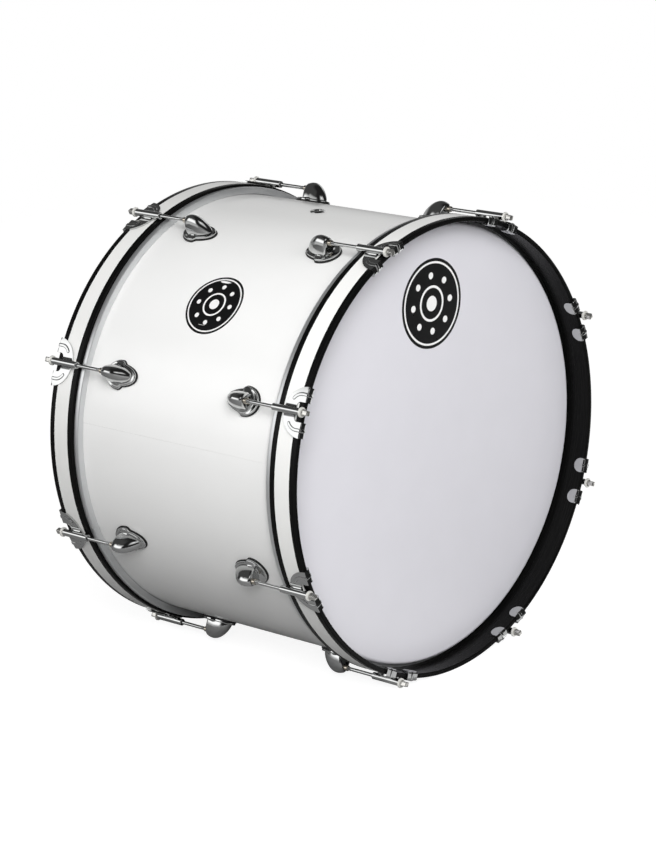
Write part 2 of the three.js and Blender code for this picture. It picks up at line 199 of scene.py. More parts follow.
def makeFinish(name, look):
    # One noise of a real size mixes the two colours and spreads the roughness, and it or a second one
    # gives the bump
    material, tree, place = newMaterial(name)
    along = roundPlace(tree, place, look["around"]) if look["around"] else place
    drawn = addNode(tree, "ShaderNodeMapping", {"Scale": look["stretch"]}, {"Vector": along})
    height = grain = addNode(tree, "ShaderNodeTexNoise",
                             {"Scale": 1 / (look["grain"] * mm), "Detail": look["detail"]},
                             {"Vector": drawn.outputs[0]}).outputs["Fac"]
    dark, light = (hexColour(code) for code in look["colours"])
    colour = addNode(tree, "ShaderNodeMix", {"data_type": "RGBA", 6: dark, 7: light}, {0: grain})
    low, high = look["rough"]
    rough = addNode(tree, "ShaderNodeMapRange", {"To Min": low, "To Max": high}, {"Value": grain})
    links = {"Base Color": colour.outputs[2], "Roughness": rough.outputs[0]}
    if look["wave"]:
        size, detail = look["wave"]
        height = addNode(tree, "ShaderNodeTexNoise", {"Scale": 1 / (size * mm), "Detail": detail},
                         {"Vector": place}).outputs["Fac"]
    if look["bump"]:
        bump = addNode(tree, "ShaderNodeBump", {"Strength": 1.0, "Distance": look["bump"] * mm},
                       {"Height": height})
        links["Normal"] = bump.outputs[0]
    shader = addNode(tree, "ShaderNodeBsdfPrincipled", look["shader"], links)
    addNode(tree, "ShaderNodeOutputMaterial", {}, {"Surface": shader.outputs[0]})
    return material


finishes = {name: {**commonLook, **look} for name, look in finishLooks.items()}
materials = {name: makeFinish(name, look) for name, look in finishes.items()}
print("materials made:", len(materials))


# Shared steps
pointGap = 0.001         # millimetres: points nearer than this are merged
softAngle = 1.0          # radians: corners sharper than this are bevelled
sharpAngle = 32          # degrees: edges sharper than this are shaded sharp


def nodeSpan(node, turn=0.0):
    # Lowest and highest corner in millimetres, with the drum turned so that the piece is at the top
    back = Matrix.Rotation(-turn, 4, "X")
    places = [back @ v.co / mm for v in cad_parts[node].data.vertices]
    low = Vector([min(p[axis] for p in places) for axis in range(3)])
    high = Vector([max(p[axis] for p in places) for axis in range(3)])
    return low, high


def stationTurn(number):
    # Turn about X that takes a piece from the top of the drum to its station
    return math.radians(45 * (number - 0.5) - 90)


def smoothStep(value):
    held = max(0.0, min(1.0, value))
    return held * held * (3 - 2 * held)


def spinRound(corners, steps, height=0.0, closed=True):
    # A line of [radius, place along] corners, spun round a line along X at a height
    shape = bmesh.new()
    line = [shape.verts.new((along, 0, height + out)) for out, along in corners]
    after = line[1:] + line[:1] if closed else line[1:]
    edges = [shape.edges.new(pair) for pair in zip(line, after)]
    bmesh.ops.spin(shape, geom=line + edges, cent=(0, 0, height), axis=(1, 0, 0), angle=2 * math.pi,
                   steps=steps, use_merge=True, use_duplicate=False)
    bmesh.ops.remove_doubles(shape, verts=shape.verts, dist=pointGap)
    bmesh.ops.recalc_face_normals(shape, faces=shape.faces)
    return shape


def bothHalves(half):
    # A line of corners on the drum's front half, carried on as its mirror image on the back half
    return half + [(out, -along) for out, along in reversed(half)]


def softenCorners(shape, width, segments, among=None):
    edges = [e for e in (among or shape.edges) if e.is_manifold and e.calc_face_angle(0) > softAngle]
    bmesh.ops.bevel(shape, geom=edges, offset=width, offset_type="OFFSET", segments=segments,
                    profile=0.5, affect="EDGES", clamp_overlap=True, material=-1)


def cutAcross(shape, place, normal, among=None):
    geom = list(shape.faces if among is None else among)
    geom += [part for face in geom for part in (*face.edges, *face.verts)]
    bmesh.ops.bisect_plane(shape, geom=list(dict.fromkeys(geom)), dist=10 * pointGap,
                           plane_co=place, plane_no=normal)


def vertsOf(geom):
    return [g for g in geom if isinstance(g, bmesh.types.BMVert)]


def edgesOf(geom):
    return [g for g in geom if isinstance(g, bmesh.types.BMEdge)]


def withCorners(edges):
    # The edges and their ends, each once and always in the same order
    return list(dict.fromkeys([*edges, *(v for e in edges for v in e.verts)]))


def combined(shape, tool, operation):
    # Joins one closed shape to another, or cuts it, and gives the result
    holders = []
    for part in (shape, tool):
        mesh = bpy.data.meshes.new("forming")
        part.to_mesh(mesh)
        part.free()
        holders.append(bpy.data.objects.new("forming", mesh))
        bpy.context.scene.collection.objects.link(holders[-1])
    step = holders[0].modifiers.new("forming", "BOOLEAN")
    step.operation = operation
    step.solver = "EXACT"
    step.object = holders[1]
    result = bmesh.new()
    result.from_object(holders[0], bpy.context.evaluated_depsgraph_get())
    for holder in holders:
        bpy.data.objects.remove(holder)
    bmesh.ops.remove_doubles(result, verts=result.verts, dist=2 * pointGap)
    return result


def finishPiece(shape, name, finish, body, turn=0.0, endTurn=0.0, stands=()):
    place = Matrix.Rotation(endTurn, 4, "Z") @ Matrix.Rotation(turn, 4, "X") @ Matrix.Scale(mm, 4)
    bmesh.ops.transform(shape, matrix=place, verts=shape.verts)
    mesh = bpy.data.meshes.new(name)
    shape.to_mesh(mesh)
    shape.free()
    mesh.shade_smooth()
    mesh.set_sharp_from_angle(angle=math.radians(sharpAngle))
    mesh.materials.append(materials[finish])
    piece = bpy.data.objects.new(name, mesh)
    bpy.context.scene.collection.objects.link(piece)
    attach(piece, body)
    if stands:
        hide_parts(*stands)


# One shape, placed at each of the sixteen stations
def placeAll(shape, nameEnd, finish, body, node=None):
    for end, endTurn in ends.items():
        for number in stations:
            stands = [node.format(end, number)] if node else []
            finishPiece(shape.copy(), f"{end}{nameEnd}{number}", finish,
                        body.format(end, number), stationTurn(number), endTurn, stands)
    shape.free()


wrapHigh = nodeSpan("shell_wrap")[1]
shellHigh = nodeSpan("shell")[1]
hoopLow, hoopHigh = nodeSpan("front_hoop")
filmLow, filmHigh = nodeSpan("front_head_film")
fleshLow, fleshHigh = nodeSpan("front_flesh_hoop")
inlayLow, inlayHigh = nodeSpan("front_hoop_inlay")
lugLow, lugHigh = nodeSpan("front_lug_2", stationTurn(2))
rodLow, rodHigh = nodeSpan("front_rod_2", stationTurn(2))
rodLine = (rodLow.z + rodHigh.z) / 2


# Shell, wrap and vent
shellSizes = {
    "steps": 192,
    "wall": 7.5,
    "edgeOut": 2.5,      # outer round-over of the bearing edge
    "edgeShare": 0.3,    # share of it that stays outside its middle corner
    "crestFlat": 0.8,
    "wrapWall": 0.6,
    "wrapChamfer": 0.15,
    "lap": 0.35,         # how far the overlapping end of the wrap stands out
    "lapAngle": 171.6,   # degrees from +Y towards +Z
    "lapStep": 0.05,     # degrees that the seam's step takes
    "lapRamp": 9.0,      # degrees over which the wrap comes back to the shell
    "ventCut": 6.8,      # radius of the hole for the vent
    "ventZone": 16.0,    # cuts each side of the vent, that keep the hole's faces small
    "drillDepth": 60.0,
    "drillSteps": 40,
}


def ventDrill():
    drill, radius = bmesh.new(), shellSizes["ventCut"]
    bmesh.ops.create_cone(drill, cap_ends=True, segments=shellSizes["drillSteps"], radius1=radius,
                          radius2=radius, depth=shellSizes["drillDepth"],
                          matrix=Matrix.Translation((0, 0, wrapHigh.z)))
    return drill


def buildShell():
    sizes = shellSizes
    bore, outer, end = shellHigh.z - sizes["wall"], shellHigh.z, shellHigh.x
    edge, middle = sizes["edgeOut"], sizes["edgeShare"] * sizes["edgeOut"]
    crest = outer - edge
    cutFoot = end - (crest - sizes["crestFlat"] - bore)
    half = [(bore, sizes["ventZone"]), (bore, cutFoot), (crest - sizes["crestFlat"], end),
            (crest, end), (outer - middle, end - middle), (outer, end - edge),
            (outer, sizes["ventZone"])]
    shape = spinRound(bothHalves(half), sizes["steps"])
    finishPiece(combined(shape, ventDrill(), "DIFFERENCE"), "shellPly", "mapleShell", "drum",
                stands=["shell"])


def liftLap(shape, inner):
    # The wrap climbs over its own first end, and drops back at the seam
    for vert in shape.verts:
        out = math.hypot(vert.co.y, vert.co.z)
        if out > inner + shellSizes["wrapChamfer"] / 2:
            angle = math.degrees(math.atan2(vert.co.z, vert.co.y))
            past = (shellSizes["lapAngle"] - angle + shellSizes["lapStep"] / 10) % 360
            grow = 1 + shellSizes["lap"] * max(0.0, 1 - past / shellSizes["lapRamp"]) / out
            vert.co.y *= grow
            vert.co.z *= grow


def buildWrap():
    sizes = shellSizes
    inner, outer, end = wrapHigh.z - sizes["wrapWall"], wrapHigh.z, wrapHigh.x
    edge = sizes["wrapChamfer"]
    half = [(outer, sizes["ventZone"]), (outer, end - edge), (outer - edge, end), (inner, end),
            (inner, sizes["ventZone"])]
    shape = spinRound(bothHalves(half), sizes["steps"])
    for angle in (sizes["lapAngle"], sizes["lapAngle"] + sizes["lapStep"]):
        turn = math.radians(angle)
        cutAcross(shape, (0, 0, 0), (0, -math.sin(turn), math.cos(turn)))
    liftLap(shape, inner)
    finishPiece(combined(shape, ventDrill(), "DIFFERENCE"), "shellWrap", "glossWrap", "drum",
                stands=["shell_wrap"])


ventSizes = {
    "bore": 4.5,
    "barrel": 6.5,
    "flange": 10.0,
    "seat": 0.1,
    "lip": [(9.9, 0.5), (8.6, 1.5), (7.0, 1.8), (5.9, 1.8), (4.9, 1.3), (4.5, 0.3)],
    "steps": 48,
}                        # the lip's corners are radius and height over the seat


def buildVent():
    sizes = ventSizes
    low = nodeSpan("vent_grommet")[0].z
    seat = wrapHigh.z + sizes["seat"]
    corners = [(sizes["bore"], low), (sizes["barrel"], low), (sizes["barrel"], seat),
               (sizes["flange"], seat)]
    corners += [(out, seat + up) for out, up in sizes["lip"]]
    shape = spinRound(corners, sizes["steps"])
    bmesh.ops.rotate(shape, verts=shape.verts, cent=(0, 0, 0),
                     matrix=Matrix.Rotation(-math.pi / 2, 3, "Y"))
    finishPiece(shape, "ventGrommet", "polishedChrome", "drum", stands=["vent_grommet"])


buildShell()
buildWrap()
buildVent()
print("shell, wrap and vent made")


# Heads and hoops
headSizes = {
    "film": 0.4,
    "bend": 5.4,         # outer radius of the film's bend over the bearing edge
    "bendSteps": 6,
    "rings": (0, 0.35, 0.7, 0.9),    # shares of the radius, so that no face is too long
    "steps": 192,
}


def bendLine(outer, top, reach, bend, steps):
    turns = [math.pi / 2 * step / steps for step in range(steps + 1)]
    return [(outer - bend + reach * math.sin(t), top - bend + reach * math.cos(t)) for t in turns]


def buildFilm(end, endTurn):
    sizes, outer, top = headSizes, filmHigh.z, filmHigh.x
    skin = [(share * outer, top) for share in sizes["rings"]]
    skin += bendLine(outer, top, sizes["bend"], sizes["bend"], sizes["bendSteps"])
    skin += [(outer, filmLow.x), (outer - sizes["film"], filmLow.x)]
    under = bendLine(outer, top, sizes["bend"] - sizes["film"], sizes["bend"], sizes["bendSteps"])
    line = skin + under[::-1] + [(0, top - sizes["film"])]
    finishPiece(spinRound(line, sizes["steps"], closed=False), f"{end}HeadFilm", "drumFilm", "drum",
                endTurn=endTurn, stands=[f"{end}_head_film"])


fleshSizes = {
    "inner": 280.1,
    "floor": 1.7,
    "slack": 0.3,        # each side of the film's edge
    "round": 0.9,
    "proud": 1.6,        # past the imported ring, outwards and towards the lugs
    "deeper": 1.3,
    "roundSteps": 3,
    "steps": 192,
}


def buildFleshHoop(end, endTurn):
    sizes = fleshSizes
    slotIn = filmHigh.z - headSizes["film"] - sizes["slack"]
    slotOut = filmHigh.z + sizes["slack"]
    floor, outer = fleshLow.x + sizes["floor"], fleshHigh.z + sizes["proud"]
    low, high = fleshLow.x - sizes["deeper"], fleshHigh.x
    corners = [(sizes["inner"], low), (sizes["inner"], high), (slotIn, high), (slotIn, floor),
               (slotOut, floor), (slotOut, high), (outer, high), (outer, low)]
    shape = spinRound(corners, sizes["steps"])
    outside = [e for e in shape.edges
               if all(math.hypot(v.co.y, v.co.z) > outer - sizes["slack"] for v in e.verts)]
    softenCorners(shape, sizes["round"], sizes["roundSteps"], outside)
    finishPiece(shape, f"{end}FleshHoop", "satinAluminium", "drum", endTurn=endTurn,
                stands=[f"{end}_flesh_hoop"])


hoopSizes = {
    "wall": 6.2,
    "groove": 1.0,
    "slack": 0.06,       # beside the inlay
    "round": 1.4,
    "roundSteps": 3,
    "steps": 240,
    "inlayWall": 0.7,
    "inlayRound": 0.12,
}


def buildHoop(end, endTurn):
    sizes = hoopSizes
    inner, outer = hoopHigh.z - sizes["wall"], hoopHigh.z
    floor = outer - sizes["groove"]
    grooveStart, grooveEnd = inlayLow.x - sizes["slack"], inlayHigh.x + sizes["slack"]
    corners = [(inner, hoopLow.x), (inner, hoopHigh.x), (outer, hoopHigh.x), (outer, grooveEnd),
               (floor, grooveEnd), (floor, grooveStart), (outer, grooveStart), (outer, hoopLow.x)]
    shape = spinRound(corners, sizes["steps"])
    rims = [e for e in shape.edges
            if all(min(v.co.x - hoopLow.x, hoopHigh.x - v.co.x) < 10 * pointGap for v in e.verts)]
    softenCorners(shape, sizes["round"], sizes["roundSteps"], rims)
    finishPiece(shape, f"{end}Hoop", "blackLacquer", "drum", endTurn=endTurn,
                stands=[f"{end}_hoop"])
    low = outer - sizes["inlayWall"]
    strip = spinRound([(low, inlayLow.x), (low, inlayHigh.x), (outer, inlayHigh.x),
                       (outer, inlayLow.x)], sizes["steps"])
    softenCorners(strip, sizes["inlayRound"], 1)
    finishPiece(strip, f"{end}HoopInlay", "whiteInlay", "drum", endTurn=endTurn,
                stands=[f"{end}_hoop_inlay"])


for end, endTurn in ends.items():
    buildFilm(end, endTurn)
    buildFleshHoop(end, endTurn)
    buildHoop(end, endTurn)
print("heads and hoops made")


# Lugs: a cast helmet on a stepped foot, with its gasket below and the swivel nut in its face
lugSizes = {
    "seat": 0.05,
    "gasket": 2.3,
    "gasketGrow": 1.1,   # the rubber shows all round the foot
    "flange": 3.0,
    "flangeRound": 1.5,
    "crease": 0.5,       # the shallow line between the foot's rounded edge and its skirt
    "ledge": 0.7,        # flat beside that line
    "lip": 0.3,          # chamfer under the foot and the gasket
    "gasketLip": 0.25,
    "gasketGap": 0.02,
    "skirt": 6.0,        # how far the foot's top sweeps in towards the dome
    "skirtRise": 6.0,
    "apronStart": 111.0, # where the skirt begins to sink to the flat apron before the face
    "apronEnd": 120.0,
    "apronSink": 0.6,
    "apronSteps": 6,
    "skirtSteps": 6,
    "curveSteps": 9,
    "strips": (-12, -6, 0.001, 6, 12),   # cuts along the foot, so that it can follow the shell
    "domeGrid": (44, 30),
    "domeBase": 0.12,    # share of the dome's lower half that is kept, sunk in the foot
    "domeHalfWidth": 11.4,
    "domeWidest": 109.0, # where the dome is widest and highest
    "domeFront": 30.0,
    "domeTail": 25.5,
    "tailPower": 1.5,    # how fast the dome falls to its tail, and to its face
    "facePower": 1.7,
    "mouth": 125.6,
    "faceSetback": 6.0,  # face of the dome behind the mouth of the nut
    "faceLean": 10.8,    # degrees that the face leans out over the rod
    "faceRound": 3.0,
    "faceRoundSteps": 6,
    "nutRadius": 3.7,
    "nutBore": 2.75,
    "nutRing": 0.35,     # dark gap round the nut
    "nutDepth": 8.0,
    "nutBack": 0.3,
    "nutChamfer": 0.6,
    "nutLeadIn": (0.4, 0.5),
    "nutSteps": 28,
    "drillClear": 0.3,
    "drillPast": (2, 12),    # how far the drill reaches past the rod's tip and past the face
    "drillSteps": 32,
}
footCurveShares = [      # handles of one side of the foot, as shares of its length and half width
    [(0, 0), (0, 0.45), (0.22, 0.66), (0.41, 0.76)],
    [(0.41, 0.76), (0.47, 0.8), (0.47, 1), (0.56, 1)],
    [(0.56, 1), (0.82, 1), (1, 0.5), (1, 0)],
]


def footLine(shape, grow, height):
    # The foot's outline as a closed loop: one side from curves, the other mirrored
    nose, length = lugLow.x - grow, lugHigh.x - lugLow.x + 2 * grow
    halfWidth = lugHigh.y + grow
    side = []
    for shares in footCurveShares:
        handles = [Vector((nose + along * length, across * halfWidth, height))
                   for along, across in shares]
        side += interpolate_bezier(*handles, lugSizes["curveSteps"] + 1)[:-1]
    side.append(Vector((nose + length, 0, height)))
    mirrored = [Vector((p.x, -p.y, p.z)) for p in reversed(side[1:-1])]
    line = [shape.verts.new(p) for p in side + mirrored]
    return [shape.edges.new(pair) for pair in zip(line, line[1:] + line[:1])]


def raiseFoot(levels):
    # Outlines of [growth, height] bridged into a closed body, and cut into strips
    shape = bmesh.new()
    loops = [footLine(shape, grow, height) for grow, height in levels]
    for below, above in zip(loops, loops[1:]):
        bmesh.ops.bridge_loops(shape, edges=below + above)
    bmesh.ops.holes_fill(shape, edges=loops[0] + loops[-1], sides=0)
    for across in lugSizes["strips"]:
        cutAcross(shape, (0, across, 0), (0, 1, 0))
    bmesh.ops.recalc_face_normals(shape, faces=shape.faces)
    return shape


def followShell(shape):
    for vert in shape.verts:
        vert.co.z -= vert.co.y ** 2 / (2 * wrapHigh.z)


def lugDome(footTop):
    sizes = lugSizes
    dome, (around, rings) = bmesh.new(), sizes["domeGrid"]
    bmesh.ops.create_uvsphere(dome, u_segments=around, v_segments=rings, radius=1.0,
                              matrix=Matrix.Rotation(math.pi / 2, 4, "Y"))
    height = lugHigh.z - footTop
    for vert in dome.verts:
        along, across, up = vert.co
        ringSize = math.sqrt(max(0.0001, 1 - along * along))
        power = sizes["tailPower"] if along < 0 else sizes["facePower"]
        vert.co.x = sizes["domeWidest"] + along * sizes["domeTail" if along < 0 else "domeFront"]
        vert.co.y = across * sizes["domeHalfWidth"]
        vert.co.z = footTop + up * height * (ringSize ** (power - 1) if up > 0 else sizes["domeBase"])
    lean = math.radians(sizes["faceLean"])
    face = Vector((sizes["mouth"] - sizes["faceSetback"], 0, rodLine))
    forward = Vector((math.cos(lean), 0, -math.sin(lean)))
    cut = bmesh.ops.bisect_plane(dome, geom=dome.verts[:] + dome.edges[:] + dome.faces[:],
                                 dist=pointGap, plane_co=face, plane_no=forward, clear_outer=True)
    roundShoulder(dome, face, forward)
    bmesh.ops.holes_fill(dome, edges=edgesOf(cut["geom_cut"]), sides=0)
    bmesh.ops.recalc_face_normals(dome, faces=dome.faces)
    return dome


def roundShoulder(dome, face, forward):
    # Draws the dome in towards the rod over the last few millimetres before its face
    radius, steps = lugSizes["faceRound"], lugSizes["faceRoundSteps"]
    for step in range(1, steps + 1):
        depth = radius * (1 - math.cos(math.pi / 2 * step / steps))
        cutAcross(dome, face - forward * depth, forward)
    for vert in dome.verts:
        left = radius - (face - vert.co).dot(forward)
        if left > 0:
            away = vert.co - face
            away -= forward * away.dot(forward)
            drawn = radius - math.sqrt(max(0.0, radius ** 2 - left ** 2))
            vert.co -= away.normalized() * drawn


def sinkApron(shape, valley):
    start, end, steps = (lugSizes[key] for key in ("apronStart", "apronEnd", "apronSteps"))
    for step in range(steps + 1):
        cutAcross(shape, (start + (end - start) * step / steps, 0, 0), (1, 0, 0))
    for vert in shape.verts:
        if vert.co.z > valley:
            share = smoothStep((vert.co.x - start) / (end - start))
            vert.co.z = valley + (vert.co.z - valley) * (1 - lugSizes["apronSink"] * share)


def buildLugs():
    sizes = lugSizes
    seat, lip = wrapHigh.z + sizes["seat"], sizes["lip"]
    foot = seat + sizes["gasket"]
    top, edge = foot + sizes["flange"], sizes["flangeRound"]
    sweep, rise, valley = sizes["skirt"], sizes["skirtRise"], top - sizes["crease"]
    inset = edge + sizes["ledge"]
    quarters = [math.pi / 2 * part / sizes["skirtSteps"] for part in range(1, sizes["skirtSteps"] + 1)]
    levels = [(-lip, foot), (0, foot + lip), (0, top - edge)]
    levels += [(edge * (math.cos(turn) - 1), top - edge * (1 - math.sin(turn))) for turn in quarters]
    levels += [(-inset, valley)]
    levels += [(-inset - sweep * math.sin(turn), valley + rise * (1 - math.cos(turn)))
               for turn in quarters]
    body = raiseFoot(levels)
    sinkApron(body, valley)
    body = combined(body, lugDome(valley), "UNION")
    radius, bore, mouth = sizes["nutRadius"], sizes["nutBore"], sizes["mouth"]
    face = mouth - sizes["faceSetback"]
    ring, hole, bottom = radius + sizes["nutRing"], bore + sizes["drillClear"], face - sizes["nutDepth"]
    start, stop = rodLow.x - sizes["drillPast"][0], face + sizes["drillPast"][1]
    drill = spinRound([(0, start), (hole, start), (hole, bottom), (ring, bottom), (ring, stop),
                       (0, stop)], sizes["drillSteps"], rodLine)
    body = combined(body, drill, "DIFFERENCE")
    followShell(body)
    placeAll(body, "LugBody", "polishedChrome", "drum", "{}_lug_{}")
    grow, gap = sizes["gasketGrow"], sizes["gasketGap"]
    gasket = raiseFoot([(grow - lip, seat), (grow, seat + lip), (grow, foot - sizes["gasketLip"]),
                        (grow - lip, foot - gap)])
    followShell(gasket)
    placeAll(gasket, "LugGasket", "blackRubber", "drum")
    chamfer, (widen, deepen) = sizes["nutChamfer"], sizes["nutLeadIn"]
    back = bottom + sizes["nutBack"]
    nut = spinRound([(bore, back), (radius, back), (radius, mouth - chamfer), (radius - chamfer, mouth),
                     (bore + widen, mouth), (bore, mouth - deepen)], sizes["nutSteps"], rodLine)
    placeAll(nut, "LugNut", "turnedBrass", "drum")


buildLugs()
print("lugs made")


# Rods: a screwed shank, a plain shank, a washer, and a collar below the square key
rodSizes = {
    "radius": 2.5,
    "core": 2.1,
    "shank": 2.35,
    "pitch": 25.4 / 24,
    "threadEnd": 131.0,
    "threadSteps": 12,
    "threadWeld": 0.02,
    "plug": 4.0,         # how far the plain shank reaches into the thread
    "plugSlack": 0.2,
    "runOut": 0.6,
    "washerStart": 211.3,
    "washer": 2.6,
    "washerRadius": 6.3,
    "washerEdge": 0.5,
    "washerRound": 0.6,
    "washerSlack": 0.1,
    "collar": 1.9,
    "collarRadius": 4.3,
    "collarEdge": 0.3,
    "collarRound": (0.8, 0.7),
    "keyHalf": 3.175,
    "keyRound": 0.9,
    "keySink": 1.0,      # into the collar
    "seam": 0.05,        # under the collar, inside the washer
    "shankSteps": 24,
    "collarSteps": 32,
    "washerSteps": 36,
}


def screwThread(start, stop):
    # One pitch of the thread's outline, screwed along the rod and closed at both ends
    sizes = rodSizes
    turns = int((stop - start) / sizes["pitch"]) - 1
    thread = bmesh.new()
    outline = [(sizes["core"], 0.0), (sizes["radius"], 0.5), (sizes["core"], 1.0)]
    line = [thread.verts.new((start + share * sizes["pitch"], 0, rodLine + out))
            for out, share in outline]
    edges = [thread.edges.new(pair) for pair in zip(line, line[1:])]
    bmesh.ops.spin(thread, geom=line + edges, cent=(0, 0, rodLine), axis=(1, 0, 0),
                   angle=2 * math.pi * turns, dvec=(sizes["pitch"] / sizes["threadSteps"], 0, 0),
                   steps=sizes["threadSteps"] * turns, use_duplicate=False)
    bmesh.ops.remove_doubles(thread, verts=thread.verts, dist=sizes["threadWeld"])
    bmesh.ops.holes_fill(thread, edges=[e for e in thread.edges if e.is_boundary], sides=0)
    bmesh.ops.recalc_face_normals(thread, faces=thread.faces)
    return thread


def buildRods():
    sizes = rodSizes
    start = sizes["washerStart"]
    washerEnd = start + sizes["washer"]
    collarEnd = washerEnd + sizes["collar"]
    radius, plug, threadEnd = sizes["shank"], sizes["core"] - sizes["plugSlack"], sizes["threadEnd"]
    shank = spinRound([(0, threadEnd - sizes["plug"]), (plug, threadEnd - sizes["plug"]),
                       (plug, threadEnd), (radius, threadEnd + sizes["runOut"]), (radius, washerEnd),
                       (0, washerEnd)], sizes["shankSteps"], rodLine)
    rod = combined(screwThread(rodLow.x, threadEnd), shank, "UNION")
    placeAll(rod, "Rod", "polishedChrome", "{}_rod_{}", "{}_rod_{}")
    under, collar, edge = washerEnd + sizes["seam"], sizes["collarRadius"], sizes["collarEdge"]
    inward, down = sizes["collarRound"]
    head = spinRound([(0, under), (collar - edge, under), (collar, under + edge),
                      (collar, collarEnd - down), (collar - inward, collarEnd), (0, collarEnd)],
                     sizes["collarSteps"], rodLine)
    key = bmesh.new()
    keyLength, keyWidth = rodHigh.x - collarEnd + sizes["keySink"], 2 * sizes["keyHalf"]
    bmesh.ops.create_cube(key, size=1.0)
    bmesh.ops.scale(key, vec=(keyLength, keyWidth, keyWidth), verts=key.verts)
    bmesh.ops.translate(key, vec=(rodHigh.x - keyLength / 2, 0, rodLine), verts=key.verts)
    softenCorners(key, sizes["keyRound"], 3)
    placeAll(combined(head, key, "UNION"), "RodHead", "nickelSteel", "{}_rod_{}", "{}_rod_{}")
    out, bore = sizes["washerRadius"], sizes["radius"] + sizes["washerSlack"]
    edge, bend = sizes["washerEdge"], sizes["washerRound"]
    washer = spinRound([(bore, start), (out - edge, start), (out, start + edge),
                        (out, washerEnd - bend), (out - bend, washerEnd), (bore, washerEnd)],
                       sizes["washerSteps"], rodLine)
    placeAll(washer, "RodWasher", "zincSteel", "{}_rod_{}")


buildRods()
print("rods made")


# Claws: a fan over the hoop, two ears folded over its edge, ribs, and a tube for the rod on a web
clawSizes = {
    "plate": 2.2,
    "clear": 0.3,        # between claw and hoop
    "fan": 31.0,
    "sectors": 60,
    "earWidth": 19.0,
    "earDepth": 12.4,
    "windowDepth": 10.4,
    "windowCorner": 5.5,
    "windowCuts": (22.5, 45, 67.5),      # degrees, the flats of a corner
    "windowReach": (1.6, 1.3),           # the cuts stop at these shares of its depth and half width
    "windowWeld": 0.2,
    "edgeFold": 2.4,     # outer radius of the fold at the hoop's edge, before it is drawn out
    "edgePower": 5.0,    # draws the outer face of that fold out to a tight corner
    "tabFold": 2.8,      # outer and inner radius of the fold into the tabs
    "tabInside": 0.8,
    "leanFrom": 3.6,     # below the hoop's outside, where the ears' ends begin to lean back
    "leanAngle": 11.0,
    "round": 0.45,
    "rimRise": 0.3,      # the tabs' raised rim, how wide it is and how fast it rises
    "rimBand": 1.5,
    "rimRamp": 0.7,
    "fanColumns": [0, 3, 6, 9],          # from the claw's middle line
    "earColumns": [0, 1.5, 3, 4.6, 6.2, 7.4, 8.0, 8.8, 9.5],     # from an ear's middle line
    "foldRows": [0.35, 0.7, 1.05],
    "flatRows": 2,
    "tabRows": 8,
    "tipSteps": 24,
    "tubeRadius": 4.6,
    "tubeBore": 2.95,
    "tubeStart": 167.4,
    "tubeEnd": 211.0,
    "tubeEdge": 0.5,
    "tubeSteps": 40,
    "drillPast": 1.0,
    "drillSteps": 32,
}
webSizes = {"half": 7.8, "setback": 1.4, "sink": 1.2, "intoTube": 0.5, "steps": 7, "round": 0.7}
ribSizes = {
    "straight": 7.0,     # from the claw's end to where the rib bends
    "bend": 15.0,
    "bendAngle": 55.0,
    "onTab": 0.1,        # past the end of the fold
    "rows": 16,
    "bendSteps": 12,
    "endSteps": 10,
}
ribOutline = [           # half of the band's section: across and over the plate
    (0, 0.85), (1.0, 0.84), (1.55, 0.78), (1.9, 0.55), (2.05, 0.2), (2.3, -0.1), (2.35, -1.0),
    (0, -1.0),
]


def clawFaces():
    # Where the claw's outer faces lie: over the hoop, at its end, and inside it
    beyond = clawSizes["clear"] + clawSizes["plate"]
    return hoopHigh.z + beyond, hoopHigh.x + beyond, hoopHigh.z - hoopSizes["wall"] - beyond


def clawLengths():
    # Lengths in the flat: end of the first fold, start and end of the second, middle of the tabs'
    # round tips
    sizes = clawSizes
    top, end, under = clawFaces()
    firstEnd = sizes["edgeFold"] * (math.pi / 2 - 1)
    secondStart = firstEnd + top - under - sizes["edgeFold"] - sizes["tabFold"]
    tabStart = secondStart + sizes["tabFold"] * math.pi / 2
    tabLength = sizes["earDepth"] + sizes["clear"] + sizes["plate"] - sizes["tabFold"]
    return firstEnd, secondStart, tabStart, tabStart + tabLength - sizes["earWidth"] / 2


def rimRelief(along, across):
    # Height of the tabs' raised rim over the plain plate, in the flat
    sizes = clawSizes
    tabMiddle, tabHalf = sizes["fan"] - sizes["earWidth"] / 2, sizes["earWidth"] / 2
    _, secondStart, _, tipCentre = clawLengths()
    if along < secondStart:
        return 0.0
    reach = math.hypot(max(0.0, along - tipCentre), abs(across) - tabMiddle)
    return sizes["rimRise"] * smoothStep((reach - tabHalf + sizes["rimBand"]) / sizes["rimRamp"])


